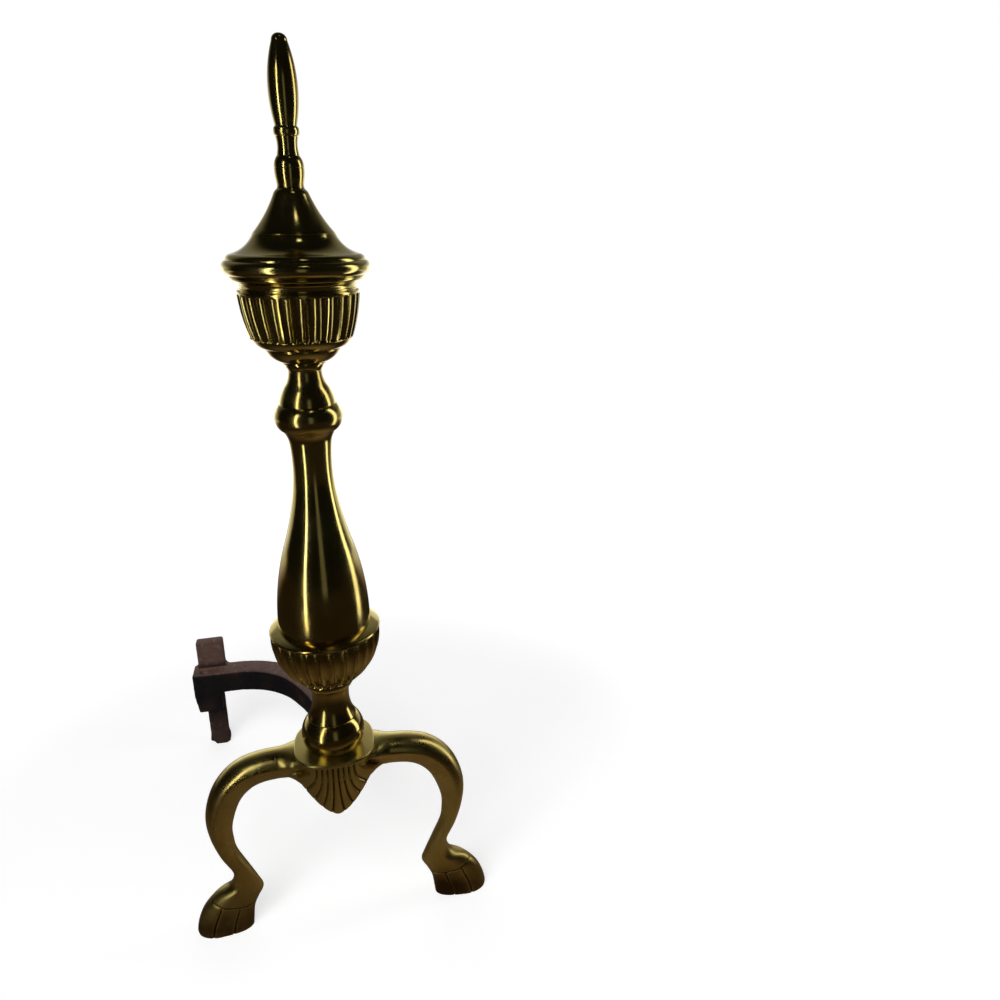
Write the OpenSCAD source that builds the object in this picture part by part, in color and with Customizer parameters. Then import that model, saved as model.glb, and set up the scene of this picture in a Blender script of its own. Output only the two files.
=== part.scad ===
// Andiron: a turned and fluted brass column on two cabriole legs, with an iron log bar behind it.
// The column stands on the Z axis while it is drawn, and its front faces -Y.

/* [Column] */
// Height of the whole andiron
total_h = 560; // [548:1:575]
// Top of the plinth above the floor
plinth_top = 142.5; // [142:0.5:143]
// Height of the ball knop
ball_h = 21; // [19:0.5:23]
// Height of the neck under the fluted cup
lower_neck_h = 22.5; // [20:0.5:26]
// Height of the fluted cup with its collar
cup_h = 45.5; // [45:0.5:46]
// Height of the baluster with its ring
baluster_h = 140.9; // [140:0.1:142]
// Height of the neck under the urn
urn_neck_h = 23.6; // [23:0.1:24]
// Height of the urn bowl
bowl_h = 41.5; // [41:0.5:42]
// Height of the urn lid
lid_h = 27.5; // [27:0.5:28]
// Height of the cone under the finial
cone_h = 32.5; // [32:0.5:33]
// Thickness of the hollow castings
wall = 3; // [2.5:0.1:3.5]

/* [Flutes] */
// Number of flutes round the urn bowl
bowl_flutes = 30; // [20:1:30]
// Number of flutes round the lower cup
cup_flutes = 28; // [20:1:28]
// Radius of the tool that cuts the flutes
flute_r = 3.6; // [3.4:0.1:3.8]
// Depth of the flutes in the urn bowl
flute_depth = 1.5; // [1:0.1:1.7]

/* [Legs] */
// Distance from the column's axis to the tip of a hoof
toe_reach = 101.8; // [100:0.1:104]
// Half width of the leg at the knee
leg_half_w = 10.5; // [9:0.1:11]
// Half width of the plinth
plinth_half_w = 26; // [25.5:0.1:26.5]
// Half width of the shell apron
shell_half_w = 23; // [21:0.5:24]
// Ribs on the shell apron
shell_ribs = 9; // [5:2:11]
// Height of the shell's tip above the floor
shell_tip_z = 100; // [98:0.5:106]

/* [Iron bar] */
// Width of the bar
bar_w = 19; // [17:0.5:20]
// Height of the bar's section
bar_h = 20; // [18:0.5:21]
// Underside of the bar above the floor
bar_z = 60; // [58:0.5:62]
// Distance from the column's axis to the outer end of the bar
bar_reach = 125.5; // [123:0.5:130]
// Top of the log stop above the floor
stop_top = 108; // [100:1:120]

/* [Tie rod] */
// Diameter of the rod that clamps the column
rod_d = 6.35; // [6:0.05:6.5]
// Diameter of the holes that the rod passes through
rod_hole_d = 7.2; // [7:0.1:7.5]

/* [Hidden] */

$fn = 96;
eps = 0.01;
rod_r = rod_d / 2;
rod_hole_r = rod_hole_d / 2;

// Seats of the column's pieces, from the floor up
neck_seat = plinth_top + ball_h;
cup_seat = neck_seat + lower_neck_h;
baluster_seat = cup_seat + cup_h;
urn_neck_seat = baluster_seat + baluster_h;
bowl_seat = urn_neck_seat + urn_neck_h;
lid_seat = bowl_seat + bowl_h;
cone_seat = lid_seat + lid_h;
finial_seat = cone_seat + cone_h;
finial_h = total_h - finial_seat;

// Each piece has a spigot under it that drops into the mouth of the piece below
spigot_h = 1.8;
spigot_play = 0.15;
small_mouth = 8;
ring_mouth = 7.5;
urn_foot_mouth = 6.5;
cup_mouth = 24;
bowl_mouth = 28.8;
lid_mouth = 18.2;
cone_mouth = 5.2;

// Plinth: its plan is a square with swelling sides and soft corners
lip_h = 2.6;
lip_overhang = 2.4;
plinth_h = 11.5;
plinth_bottom = plinth_top - plinth_h;
plan_power = 2.7;
plan_steps = 72;
rim_r = 39.3;

// Stack on the lower end of the rod, from the plinth down
eye_h = 10;
washer_t = 1.6;
lock_washer_t = 1.8;
nut_h = 5.6;
nut_across_flats = 11.1;
eye_z = plinth_bottom - eye_h;
washer_z = eye_z - washer_t;
lock_washer_z = washer_z - lock_washer_t;
nut_z = lock_washer_z - nut_h;
rod_bottom = nut_z - 3.5;
rod_grip = 10;

// Plan of the log bar: straight back, a slow curve, a quick curve, then straight out sideways
bar_straight_end = 85;
slow_radius = 175;
slow_angle = 35;
quick_radius = 69;
slow_steps = 12;
quick_steps = 14;
slow_centre = [-slow_radius, bar_straight_end];
quick_centre = slow_centre + (slow_radius - quick_radius) * [cos(slow_angle), sin(slow_angle)];
bar_end_y = quick_centre[1] + quick_radius;
bar_back = bar_end_y + bar_w / 2;
bar_front = bar_end_y - bar_w / 2;
rise_start = 14;

// Rear leg, lug and log stop at the bar's outer end
lug_w = 23;
lug_drop = 19;
lug_t = 8;
stop_w = 23;
stop_t = 8;
stop_x = -121;
rear_leg_x = -109.8;
rear_leg_w = 15.4;
rear_leg_t = 9;
rear_leg_front = bar_front + lug_t + 0.2;
tenon_r = 3.2;
tenon_x = -113;
tenon_y = rear_leg_front + rear_leg_t / 2;

// The origin is on the floor under the middle of the whole andiron
frame_x = (bar_reach - toe_reach) / 2;
frame_y = (rim_r - bar_back) / 2;

// ---- Curves ----

// Circle that carries an arc from a to b: [centre, radius, angle at a, sweep to b].
// A positive bulge swells away from the axis.
function arc_circle(a, b, bulge) =
    let (
        chord = b - a,
        len = norm(chord),
        side = chord[1] < 0 ? [-chord[1], chord[0]] / len : [chord[1], -chord[0]] / len,
        radius = (len * len / 4 + bulge * bulge) / (2 * abs(bulge)),
        centre = (a + b) / 2 + side * sign(bulge) * (abs(bulge) - radius),
        from_angle = atan2(a[1] - centre[1], a[0] - centre[0]),
        turn = atan2(b[1] - centre[1], b[0] - centre[0]) - from_angle,
        sweep = turn > 180 ? turn - 360 : turn < -180 ? turn + 360 : turn
    )
    [centre, radius, from_angle, sweep];

// Points of that arc
function arc(a, b, bulge, steps = 6) =
    let (c = arc_circle(a, b, bulge))
    [for (i = [0:steps]) let (angle = c[2] + c[3] * i / steps) c[0] + c[1] * [cos(angle), sin(angle)]];

// Value at t on a smooth curve through evenly spaced values
function smooth(values, t) =
    let (
        last = len(values) - 1,
        i = min(floor(t), last - 1),
        f = t - i,
        p0 = values[max(i - 1, 0)],
        p1 = values[i],
        p2 = values[i + 1],
        p3 = values[min(i + 2, last)]
    )
    p1 + f * ((p2 - p0) / 2 + f * (p0 - 2.5 * p1 + 2 * p2 - p3 / 2 + f * (1.5 * (p1 - p2) + (p3 - p0) / 2)));

// Points of an S-shaped fall from a to b, level at both ends
function s_fall(a, b, steps = 10) =
    [for (i = [0:steps]) [a[0] + (b[0] - a[0]) * i / steps, a[1] + (b[1] - a[1]) * (1 - cos(180 * i / steps)) / 2]];

// ---- Turned pieces ----

// A hollow turned piece: the outline runs down the outside, the core up the inside
module turned(outline, core, spigot_mouth) {
    spigot_r = spigot_mouth - spigot_play;
    rotate_extrude()
        polygon(concat(outline, [[spigot_r, 0], [spigot_r, -spigot_h]], core));
}

module ball_knop() color("goldenrod") translate([0, 0, plinth_top])
    turned(
        concat(arc([15.4, ball_h], [18, 0.6], 3.5, 12), [[17.6, 0]]),
        concat([[rod_hole_r, -spigot_h], [rod_hole_r, 2]],
               arc([12, 4.5], [12, ball_h - 5], 3, 4), [[small_mouth, ball_h - 4], [small_mouth, ball_h]]),
        small_mouth);

module lower_neck() color("goldenrod") translate([0, 0, neck_seat])
    turned(
        concat(arc([12.4, lower_neck_h], [12, lower_neck_h / 2], -0.4), arc([12, lower_neck_h / 2], [15.4, 0.5], -0.6),
               [[15.1, 0]]),
        [[rod_hole_r, -spigot_h], [rod_hole_r, 3], [small_mouth, 6], [small_mouth, lower_neck_h]],
        small_mouth);

// Outline of the fluted part of the lower cup, from under its collar to its foot
cup_belly = arc([33.6, cup_h - 3.6], [19, 8.5], 4.7, 12);

module lower_cup() color("goldenrod") translate([0, 0, cup_seat]) difference() {
    turned(
        concat([[28.5, cup_h], [33.6, cup_h - 1.9], [34, cup_h - 2.6], [34, cup_h - 3.3]], cup_belly,
               [[15.5, 8], [14.6, 6.2]], arc([15, 6], [13.4, 0.5], 0.8), [[13, 0]]),
        [[rod_hole_r, -spigot_h], [rod_hole_r, 9], [14, 12.5], [25, 22], [cup_mouth, cup_h - 4], [cup_mouth, cup_h]],
        small_mouth);
    flutes(cup_flutes, [35.6, cup_h - 7.4], [25.2, 10.2], 3.5, flute_r);
}

module baluster() color("goldenrod") translate([0, 0, baluster_seat])
    turned(
        concat(arc([16.2, baluster_h - 0.1], [16.6, 126.5], 3.1, 10), arc([15.6, 125.9], [12.4, 119.5], -0.5, 4),
               arc([12.4, 119.5], [12.4, 90.5], -0.9), arc([12.4, 90.5], [21.1, 52.5], -0.9, 8),
               arc([21.1, 52.5], [28.2, 0.5], 1.9, 10), [[27.8, 0]]),
        concat([[cup_mouth - spigot_play - wall, -spigot_h]],
               arc([28.2 - wall - 1.5, 6], [21.1 - wall, 52.5], 1.9, 6), [[12 - wall, 88], [12 - wall, 118]],
               [[ring_mouth, 124], [ring_mouth, baluster_h]]),
        cup_mouth);

module urn_neck() color("goldenrod") translate([0, 0, urn_neck_seat])
    turned(
        concat([[11, urn_neck_h]], arc([11, urn_neck_h - 0.5], [9.6, 20.2], 0.2, 3), arc([9.4, 19.6], [11.4, 11.6], -0.5),
               arc([11.4, 11.6], [16, 0.3], 0.8, 8), [[15.7, 0]]),
        [[rod_hole_r, -spigot_h], [rod_hole_r, 4], [urn_foot_mouth, 7], [urn_foot_mouth, urn_neck_h]],
        ring_mouth);

module urn_bowl() color("goldenrod") translate([0, 0, bowl_seat]) difference() {
    turned(
        concat([[31.4, bowl_h], [31.4, bowl_h - 0.8], [32.6, bowl_h - 1.5]],
               arc([32.8, bowl_h - 2.2], [28, 14.5], 0.8, 5), arc([27, 14], [21.4, 8.5], 0.5),
               arc([21, 8], [12.2, 0.5], 0.5), [[12, 0]]),
        [[rod_hole_r, -spigot_h], [rod_hole_r, 5], [14, 9], [23.5, 15.5], [27.5, 30], [bowl_mouth, bowl_h - 5],
         [bowl_mouth, bowl_h]],
        urn_foot_mouth);
    flutes(bowl_flutes, [32.8 + flute_r - flute_depth, bowl_h - 5.8], [30.4, 13.4], 0.7, flute_r);
}

module urn_lid() color("goldenrod") translate([0, 0, lid_seat])
    turned(
        concat(arc([21.8, lid_h], [34.2, lid_h - 10], -1.9, 8), arc([34.2, lid_h - 10], [37, lid_h - 13.1], 0.6, 4),
               arc([37.4, lid_h - 13.4], [36.2, 6.7], 2.6, 10), arc([35.4, 6.2], [35, 4.2], 0.5, 4),
               arc([34.4, 3.9], [31.4, 0.5], -0.8, 4), [[31.2, 0]]),
        [[bowl_mouth - spigot_play - wall, -spigot_h], [29, 3], [33.5, 8], [32.5, 12.5], [lid_mouth, lid_h - 3.5],
         [lid_mouth, lid_h]],
        bowl_mouth);

module lid_cone() color("goldenrod") translate([0, 0, cone_seat])
    turned(
        concat(arc([7.75, cone_h], [6.9, 24.5], 0.25, 4), [[6.9, 23.5]], arc([7.2, 22.5], [9.5, 19.5], 0.3, 3),
               arc([9.5, 19.5], [21.8, 0.2], -0.9, 8), [[21.6, 0]]),
        [[lid_mouth - spigot_play - wall, -spigot_h], [14, 2], [rod_hole_r + 1, 17], [rod_hole_r, 20],
         [rod_hole_r, cone_h - 2.2], [cone_mouth, cone_h - 2.2], [cone_mouth, cone_h]],
        lid_mouth);

module finial() color("goldenrod") translate([0, 0, finial_seat])
    turned(
        concat(arc([0, finial_h], [4, finial_h - 3.5], 1.2), arc([4, finial_h - 3.5], [5.6, 20.5], 2.7, 14),
               [[5.6, 20]], arc([6.2, 19.5], [6.2, 15.5], 0.4, 4), [[5.7, 15.2]],
               arc([5.7, 15], [5.7, 6.5], -0.5), [[5.7, 6]], arc([6.2, 5.5], [7.75, 0.2], 0.4, 4), [[7.6, 0]]),
        [[rod_r + 0.03, -spigot_h], [rod_r + 0.03, rod_grip + 1.5], [0, rod_grip + 3.5]],
        cone_mouth);

// ---- Flutes ----

// The ball at the top of a flute is a trifle larger than the tool, so that their skins cross cleanly
ball_extra = 0.02;

// A ring of round-topped flutes. The round tool's centre runs down an arc from top to bottom.
module flutes(count, top, bottom, bulge, tool_r) {
    path = arc_circle(top, bottom, bulge);
    for (i = [0:count - 1])
        rotate([0, 0, 360 * (i + 0.5) / count]) {
            translate([path[0][0], 0, path[0][1]])
                rotate([90, 0, 0])
                    rotate([0, 0, path[2] + path[3]])
                        rotate_extrude(angle = -path[3], $fn = 64)
                            translate([path[1], 0])
                                circle(r = tool_r, $fn = 32);
            translate([top[0], 0, top[1]])
                sphere(r = tool_r + ball_extra, $fn = 32);
        }
}

// ---- Leg casting ----

// Stations down the right leg, from under the plinth to the sole. The outer line is the top and outside
// of the leg, the inner line its underside and inside.
leg_outer = [[20, 141], [38, 140.8], [52, 139.2], [63.5, 135.4], [74, 127], [81.8, 114.6], [86.3, 98], [85.4, 82],
             [80.6, 64.5], [73.8, 48], [77, 37.2], [86.5, 31.6], [94.8, 22.6], [99.4, 13.2], [toe_reach, 4],
             [toe_reach - 0.4, 0]];
leg_inner = [[20, 120], [38, 120], [48.5, 118.4], [56, 114.4], [62.4, 107.4], [67, 97.6], [70.4, 85.5], [70.6, 75],
             [69, 64.5], [62.4, 49.6], [57.4, 38.4], [55.2, 31.6], [58.6, 24.6], [62.2, 16], [63.8, 5], [64.4, 0]];
leg_half = [1, 1, 1, 0.99, 0.98, 0.95, 0.92, 0.86, 0.74, 0.6, 0.64, 0.74, 0.82, 0.86, 0.88, 0.84] * leg_half_w;
// How much the section narrows towards its inner side
leg_taper = [0.42, 0.42, 0.42, 0.42, 0.42, 0.42, 0.42, 0.4, 0.36, 0.3, 0.28, 0.25, 0.22, 0.2, 0.2, 0.2];
steps_per_station = 3;
side_steps = 5;
crease_at = 0.6;

// Half outline of a leg section as [along, across]: along runs from 0 inside to 1 outside
function leg_section(taper) =
    concat(
        [for (i = [side_steps:-1:1]) let (s = sin(90 * i / side_steps))
            [crease_at * (1 - s), (1 - taper * s) * sqrt(max(0, 1 - pow(s, 4)))]],
        [for (i = [0:side_steps]) let (s = sin(90 * i / side_steps))
            [crease_at + (1 - crease_at) * s, sqrt(max(0, 1 - s * s))]]);

// Extra half width of a leg where it runs into the plinth
root_flare = 5.4;
root_fade = 5;

function leg_ring(t) =
    let (
        outer = smooth(leg_outer, t),
        inner = smooth(leg_inner, t),
        half = smooth(leg_half, t) + root_flare * exp(-pow(max(0, outer[0] - plinth_half_w) / root_fade, 2)),
        side = leg_section(smooth(leg_taper, t)),
        count = len(side)
    )
    concat(
        [for (p = side) let (q = inner + (outer - inner) * p[0]) [q[0], half * p[1], q[1]]],
        [for (i = [count - 2:-1:1]) let (p = side[i], q = inner + (outer - inner) * p[0]) [q[0], -half * p[1], q[1]]]);

// A closed skin over rings that all have the same number of points
module loft(rings) {
    around = len(rings[0]);
    last = len(rings) - 1;
    polyhedron(
        points = [for (ring = rings) each ring],
        faces = concat(
            [[for (k = [0:around - 1]) k]],
            [[for (k = [around - 1:-1:0]) last * around + k]],
            [for (i = [0:last - 1], k = [0:around - 1]) let (n = (k + 1) % around)
                [i * around + n, i * around + k, (i + 1) * around + k]],
            [for (i = [0:last - 1], k = [0:around - 1]) let (n = (k + 1) % around)
                [i * around + n, (i + 1) * around + k, (i + 1) * around + n]]));
}

module leg() loft([for (i = [0:(len(leg_outer) - 1) * steps_per_station]) leg_ring(i / steps_per_station)]);

// A level ring of the plinth, points running anticlockwise
function plinth_ring(half, z) =
    [for (i = [0:plan_steps - 1]) let (c = cos(360 * i / plan_steps), s = sin(360 * i / plan_steps))
        [half * sign(c) * pow(abs(c), 2 / plan_power), half * sign(s) * pow(abs(s), 2 / plan_power), z]];

module plinth() loft([
    plinth_ring(plinth_half_w - lip_overhang, plinth_bottom),
    plinth_ring(plinth_half_w - lip_overhang, plinth_top - lip_h - 0.8),
    plinth_ring(plinth_half_w, plinth_top - lip_h),
    plinth_ring(plinth_half_w, plinth_top - 1),
    plinth_ring(plinth_half_w - 0.3, plinth_top - 0.3),
    plinth_ring(plinth_half_w - 1, plinth_top)]);

// The shell hangs under the front of the plinth. Its ribs run down and bend outwards to its edge.
shell_top_z = 137;
shell_edge_z = 128.5;
shell_hinge_half_w = 15;
shell_front = 23.5;
shell_back = 12;
shell_curve = 7;
rib_relief = 0.9;
rib_steps = 4;
shell_rows = 8;

function shell_point(u, v) =
    let (
        edge_x = shell_half_w * sign(u) * pow(abs(u), 0.85),
        edge_z = shell_tip_z + (shell_edge_z - shell_tip_z) * pow(edge_x / shell_half_w, 2),
        x = shell_hinge_half_w * u + (edge_x - shell_hinge_half_w * u) * pow(v, 3),
        z = shell_top_z + (edge_z - shell_top_z) * v,
        rib = abs(sin(90 * shell_ribs * (u + 1))),
        front = shell_front - shell_curve * pow(x / shell_half_w, 2) - 3 * v * v + rib_relief * (rib - 1) * sqrt(v)
    )
    [x, -front, z];

module shell() {
    columns = shell_ribs * rib_steps;
    loft([for (c = [0:columns]) let (u = 2 * c / columns - 1)
        concat(
            [for (r = [0:shell_rows]) shell_point(u, r / shell_rows)],
            [for (r = [shell_rows, 0]) let (p = shell_point(u, r / shell_rows)) [p[0], -shell_back, p[2]]])]);
}

// Thin web that joins the shell's upper corners to the legs
module shell_web() translate([0, -6, 0]) rotate([90, 0, 0])
    linear_extrude(8)
        polygon([[-34, 122.5], [-28, 121.5], [-23, 117.5], [23, 117.5], [28, 121.5], [34, 122.5],
                 [34, 132], [-34, 132]]);

module leg_casting() color("goldenrod") difference() {
    union() {
        leg();
        mirror([1, 0, 0]) leg();
        plinth();
        shell();
        shell_web();
    }
    translate([0, 0, plinth_top - spigot_h - 0.4]) cylinder(r = small_mouth, h = spigot_h + 1);
    translate([0, 0, plinth_bottom - 20]) cylinder(r = rod_hole_r, h = 40);
}

// ---- Tie rod and its fasteners ----

module tie_rod() color("slategray")
    translate([0, 0, rod_bottom]) cylinder(r = rod_r, h = finial_seat + rod_grip - rod_bottom);

module tie_rod_washer() color("slategray") translate([0, 0, washer_z]) difference() {
    cylinder(r = 8, h = washer_t);
    translate([0, 0, -1]) cylinder(r = rod_hole_r, h = washer_t + 2);
}

module tie_rod_lock_washer() color("slategray") translate([0, 0, lock_washer_z]) difference() {
    cylinder(r = 5.6, h = lock_washer_t);
    translate([0, 0, -1]) cylinder(r = rod_hole_r, h = lock_washer_t + 2);
    translate([4.5, 0, lock_washer_t / 2]) rotate([20, 0, 0]) cube([6, 0.8, 4], center = true);
}

module tie_rod_nut() color("slategray") translate([0, 0, nut_z]) difference() {
    intersection() {
        cylinder(r = nut_across_flats / sqrt(3), h = nut_h, $fn = 6);
        cylinder(r1 = nut_across_flats / 2 + 3.4, r2 = nut_across_flats / 2 - 0.1, h = nut_h);
    }
    translate([0, 0, -1]) cylinder(r = rod_r + 0.03, h = nut_h + 2);
}

// ---- Iron bar and rear leg ----

// Points round a centre, from one angle to another
function turn_points(centre, radius, from, to, steps) =
    [for (i = [0:steps]) let (angle = from + (to - from) * i / steps) centre + radius * [cos(angle), sin(angle)]];

// One side of the bar's plan, at an offset from its centre line
function bar_side(offset) =
    concat(turn_points(slow_centre, slow_radius + offset, 0, slow_angle, slow_steps),
           turn_points(quick_centre, quick_radius + offset, slow_angle, 90, quick_steps),
           [[-bar_reach, bar_end_y + offset]]);

module bar_run() {
    outside = bar_side(bar_w / 2);
    inside = bar_side(-bar_w / 2);
    translate([0, 0, bar_z])
        linear_extrude(bar_h)
            polygon(concat(outside, [for (i = [len(inside) - 1:-1:0]) inside[i]]));
}

// Front end of the bar: the eye under the plinth and the fall to the level of the bar
module bar_neck() difference() {
    union() {
        translate([0, 0, eye_z]) cylinder(r = bar_w / 2, h = eye_h - eps);
        translate([-bar_w / 2, 0, 0])
            rotate([90, 0, 90])
                linear_extrude(bar_w)
                    polygon(concat([[0, eye_z], [0, plinth_bottom - eps]],
                                   s_fall([rise_start, plinth_bottom - eps], [bar_straight_end, bar_z + bar_h]),
                                   s_fall([bar_straight_end, bar_z], [rise_start, eye_z])));
    }
    translate([0, 0, eye_z - 1]) cylinder(r = rod_hole_r, h = eye_h + 2);
}

// Lug that hangs under the bar's end and hides the top of the rear leg
module end_lug() translate([0, bar_front + lug_t, 0]) rotate([90, 0, 0])
    linear_extrude(lug_t)
        polygon([[-bar_reach, bar_z + 3], [-bar_reach, bar_z - 2.2], [-bar_reach + 2.5, bar_z - lug_drop],
                 [-bar_reach + lug_w, bar_z - lug_drop], [-bar_reach + lug_w, bar_z - 4], [-bar_reach + lug_w + 3, bar_z],
                 [-bar_reach + lug_w + 3, bar_z + 3]]);

// Tab that keeps a log from rolling off the back
module log_stop() translate([0, bar_back, 0]) rotate([90, 0, 0])
    linear_extrude(stop_t)
        polygon([[stop_x - 2.5, bar_z + bar_h - 2], [stop_x - 2.5, bar_z + bar_h], [stop_x, bar_z + bar_h + 3],
                 [stop_x, stop_top - 1.4], [stop_x + 1.2, stop_top - 0.6], [stop_x + stop_w - 1.2, stop_top],
                 [stop_x + stop_w, stop_top - 1.2], [stop_x + stop_w, bar_z + bar_h + 3],
                 [stop_x + stop_w + 2.5, bar_z + bar_h], [stop_x + stop_w + 2.5, bar_z + bar_h - 2]]);

module log_bar() color("dimgray") difference() {
    union() {
        bar_neck();
        bar_run();
        end_lug();
        log_stop();
    }
    translate([tenon_x, tenon_y, bar_z - 1]) cylinder(r = tenon_r, h = bar_h + 2);
}

module rear_leg() color("dimgray") {
    translate([0, rear_leg_front + rear_leg_t, 0]) rotate([90, 0, 0])
        linear_extrude(rear_leg_t)
            polygon(concat([[rear_leg_x - rear_leg_w / 2, bar_z]],
                           [[rear_leg_x - rear_leg_w / 2, 12], [rear_leg_x - rear_leg_w / 2 - 0.8, 6]],
                           arc([rear_leg_x - rear_leg_w / 2 - 0.8, 4], [rear_leg_x - 4, 0], 1, 3),
                           [[rear_leg_x + rear_leg_w / 2 - 2, 0], [rear_leg_x + rear_leg_w / 2 + 1, 2],
                            [rear_leg_x + rear_leg_w / 2 + 1, 6], [rear_leg_x + rear_leg_w / 2, 12],
                            [rear_leg_x + rear_leg_w / 2, bar_z]]));
    translate([tenon_x, tenon_y, bar_z - 1]) cylinder(r = tenon_r - 0.03, h = bar_h + 0.4);
}

module in_frame() translate([frame_x, frame_y, 0]) children();

in_frame() leg_casting();
in_frame() ball_knop();
in_frame() lower_neck();
in_frame() lower_cup();
in_frame() baluster();
in_frame() urn_neck();
in_frame() urn_bowl();
in_frame() urn_lid();
in_frame() lid_cone();
in_frame() finial();
in_frame() tie_rod();
in_frame() tie_rod_washer();
in_frame() tie_rod_lock_washer();
in_frame() tie_rod_nut();
in_frame() log_bar();
in_frame() rear_leg();
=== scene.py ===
import math

import bpy
import numpy as np
from mathutils import Matrix, Vector


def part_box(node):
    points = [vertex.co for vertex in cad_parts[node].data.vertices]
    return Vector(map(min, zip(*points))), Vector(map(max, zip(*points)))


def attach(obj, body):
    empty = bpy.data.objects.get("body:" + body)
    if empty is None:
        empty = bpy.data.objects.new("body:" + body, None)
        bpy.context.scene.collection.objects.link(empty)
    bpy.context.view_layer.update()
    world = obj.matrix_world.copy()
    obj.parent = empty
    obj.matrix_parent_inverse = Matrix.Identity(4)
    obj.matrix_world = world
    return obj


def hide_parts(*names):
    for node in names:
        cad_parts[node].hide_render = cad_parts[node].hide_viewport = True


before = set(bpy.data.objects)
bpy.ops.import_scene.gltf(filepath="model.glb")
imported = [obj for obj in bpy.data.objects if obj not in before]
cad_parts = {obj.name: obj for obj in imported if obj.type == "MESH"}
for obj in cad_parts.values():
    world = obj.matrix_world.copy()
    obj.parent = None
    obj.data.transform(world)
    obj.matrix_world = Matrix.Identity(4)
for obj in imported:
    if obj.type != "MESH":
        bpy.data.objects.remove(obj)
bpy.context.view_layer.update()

mm = 0.001
tiny = 1e-6                                    # points nearer than this are one point
notZero = 1e-9                                 # keeps a division from failing
spigot = 1.8                                   # each column piece drops this far into the one below
rodBore = 3.3                                  # radius of the hole for the tie rod
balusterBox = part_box("baluster")
columnX = (balusterBox[0].x + balusterBox[1].x) / 2
columnY = (balusterBox[0].y + balusterBox[1].y) / 2
black = (0, 0, 0, 1)
white = (1, 1, 1, 1)


class Value:                                   # a number that changes over a surface, held as its socket
    def __init__(self, finish, socket):
        self.finish = finish
        self.socket = socket

    def maths(self, operation, first, second=0.0, clamp=False):
        settings = {"operation": operation, "use_clamp": clamp}
        made = self.finish.node("ShaderNodeMath", settings, {0: first, 1: second})
        return Value(self.finish, made.outputs[0])

    def __add__(self, other):
        return self.maths("ADD", self, other)

    def __radd__(self, other):
        return self.maths("ADD", other, self)

    def __sub__(self, other):
        return self.maths("SUBTRACT", self, other)

    def __rsub__(self, other):
        return self.maths("SUBTRACT", other, self)

    def __mul__(self, other):
        return self.maths("MULTIPLY", self, other)

    def __rmul__(self, other):
        return self.maths("MULTIPLY", other, self)

    def clipped(self):                         # kept between 0 and 1
        return self.maths("ADD", self, 0.0, True)

    def stepped(self, low, high):              # 0 below low, 1 above high, smooth between
        made = self.finish.node("ShaderNodeMapRange", {"interpolation_type": "SMOOTHSTEP"},
                                {"Value": self, "From Min": low, "From Max": high})
        return Value(self.finish, made.outputs["Result"])


class Finish:
    def __init__(self, name, tree=None):
        if tree is None:
            self.material = bpy.data.materials.new(name)
            self.material.use_nodes = True
            tree = self.material.node_tree
        self.tree = tree
        tree.nodes.clear()

    def node(self, kind, settings=None, sockets=None):
        made = self.tree.nodes.new(kind)
        for key, setting in (settings or {}).items():
            setattr(made, key, setting)
        for key, given in (sockets or {}).items():
            if isinstance(given, Value):
                given = given.socket
            if isinstance(given, bpy.types.NodeSocket):
                self.tree.links.new(given, made.inputs[key])
            else:
                made.inputs[key].default_value = given
        return made

    def coordinates(self, kind):
        return self.node("ShaderNodeTexCoord").outputs[kind]

    def part(self, vector, axis):
        made = self.node("ShaderNodeSeparateXYZ", {}, {0: vector})
        return Value(self, made.outputs[axis])

    def place(self, scale=(1, 1, 1)):          # the point on the surface, measured from the column's axis
        shift = (-columnX * scale[0], -columnY * scale[1], 0)
        sockets = {"Vector": self.coordinates("Object"), "Location": shift, "Scale": scale}
        return self.node("ShaderNodeMapping", {}, sockets).outputs[0]

    def noise(self, scale, detail=3.0, roughness=0.5, stretch=(1, 1, 1), warp=0.0):
        sockets = {"Vector": self.place(stretch), "Scale": scale, "Detail": detail, "Roughness": roughness,
                   "Distortion": warp}
        return Value(self, self.node("ShaderNodeTexNoise", {}, sockets).outputs["Fac"])

    def hollow(self):                          # above 0.5 in hollows, below on edges
        made = self.node("ShaderNodeAttribute", {"attribute_name": "hollow"})
        return Value(self, made.outputs["Fac"])

    def mixed(self, amount, first, second):
        made = self.node("ShaderNodeMix", {"data_type": "RGBA"}, {0: amount, 6: first, 7: second})
        return made.outputs[2]

    def surface(self, sockets, bumps):         # each bump is a height, its depth in metres and its strength
        normal = None
        for height, distance, strength in bumps:
            given = {"Height": height, "Distance": distance, "Strength": strength}
            if normal is not None:
                given["Normal"] = normal
            normal = self.node("ShaderNodeBump", {}, given).outputs[0]
        sockets["Normal"] = normal
        shader = self.node("ShaderNodeBsdfPrincipled", {}, sockets)
        self.node("ShaderNodeOutputMaterial", {}, {"Surface": shader.outputs[0]})
        return self.material


brassLook = {
    "clean": (0.57, 0.475, 0.15, 1),
    "warm": (0.49, 0.36, 0.095, 1),
    # the dark tarnish colour is also the colour of the painted shade in the hollows
    "tarnishAndShade": (0.07, 0.038, 0.010, 1),
    "turnedGloss": (0.12, 0.23), "castGloss": (0.25, 0.4),   # roughness where cleanest and where most handled
    # the hollows take real tarnish and, on top of it, painted shade
    "hollowTarnishAndShade": 5, "cloudGrime": 0.7, "specks": 0.12, "grimeRough": 0.25,
    "footHeight": (0.004, 0.045), "footGrime": 0.45, "footClouds": 0.8,   # grime up to the ankles
}


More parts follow.
